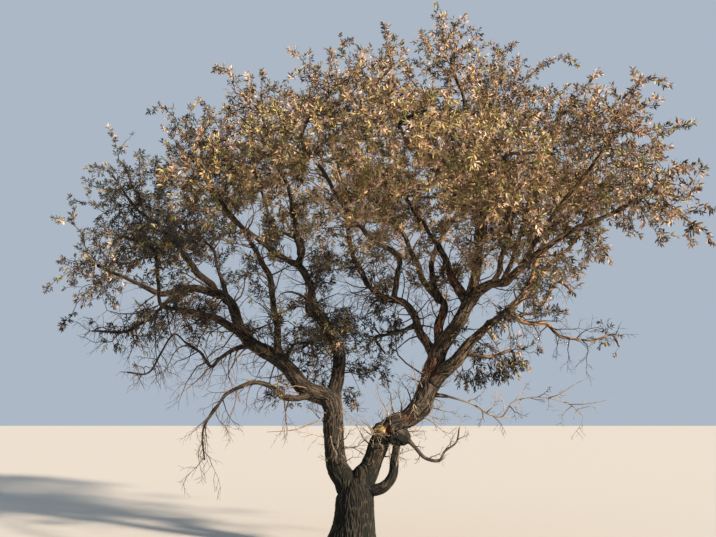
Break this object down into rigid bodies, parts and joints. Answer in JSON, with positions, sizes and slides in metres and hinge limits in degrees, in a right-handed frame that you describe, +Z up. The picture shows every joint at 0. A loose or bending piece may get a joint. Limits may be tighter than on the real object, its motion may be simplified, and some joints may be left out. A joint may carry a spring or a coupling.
{
  "type": "cambara tree",
  "caption": "Broad savanna tree that forks low, with leaning crooked boughs and an open, rounded, wide-spreading crown; stands fixed on the flat cut under its trunk.",
  "frame": {"origin": "middle of the flat cut under the trunk, at ground level", "axes": "+X to the right along the crown's wider way as seen in the picture, +Y away from the viewer, +Z up"},
  "size_m": [8.027, 6.1367, 6.7741],
  "materials": {
    "bark": "thick corky bark in long furrowed plates, grey-brown, matt",
    "dead_wood": "barkless weathered dead wood, pale grey-brown, matt",
    "leaves_tan": "leathery leaves, sunlit tan and silver undersides, slight sheen",
    "leaves_olive": "leathery leaves, olive and brown, slight sheen",
    "leaves_grey": "leathery leaves, shaded grey-olive, slight sheen"
  },
  "bodies": {
    "root": {"trunk": "bark", "crest_centre_bough": "bark", "crest_left_bough": "bark", "crooked_arm": "bark", "crown_front_bough": "bark", "crown_right_bough": "bark", "dead_branch": "dead_wood", "dead_hook": "dead_wood", "heart_bough": "bark", "inner_bough": "bark", "inner_front_bough": "bark", "left_arm": "bark", "left_bough": "bark", "left_crest_bough": "bark", "left_lower_bough": "bark", "left_riser": "bark", "left_skirt_bough": "bark", "low_arch": "bark", "middle_bough": "bark", "peak_bough": "bark", "rear_bough": "bark", "right_arm": "bark", "right_bough": "bark", "right_crest_bough": "bark", "right_droop": "bark", "right_front_bough": "bark", "right_rear_bough": "bark", "right_top_bough": "bark", "right_wing_bough": "bark", "side_shoot": "bark", "foliage_crest_centre": "leaves_tan", "foliage_crest_left": "leaves_tan", "foliage_crest_left_rear": "leaves_tan", "foliage_crest_middle": "leaves_tan", "foliage_crown_back": "leaves_olive", "foliage_crown_front": "leaves_olive", "foliage_crown_left_front": "leaves_olive", "foliage_crown_right": "leaves_tan", "foliage_crown_right_rear": "leaves_olive", "foliage_heart": "leaves_olive", "foliage_inner_left": "leaves_grey", "foliage_inner_middle": "leaves_grey", "foliage_inner_right": "leaves_grey", "foliage_left_crest": "leaves_grey", "foliage_left_front": "leaves_olive", "foliage_left_heart": "leaves_grey", "foliage_left_hem": "leaves_grey", "foliage_left_rear": "leaves_grey", "foliage_left_shoulder": "leaves_tan", "foliage_left_skirt": "leaves_grey", "foliage_left_tip": "leaves_grey", "foliage_peak": "leaves_tan", "foliage_right_crest": "leaves_tan", "foliage_right_front": "leaves_olive", "foliage_right_heart": "leaves_tan", "foliage_right_sprig": "leaves_grey", "foliage_right_tip": "leaves_tan", "foliage_right_top": "leaves_tan", "foliage_right_under": "leaves_olive", "foliage_right_wing": "leaves_tan"}
  },
  "joints": []
}
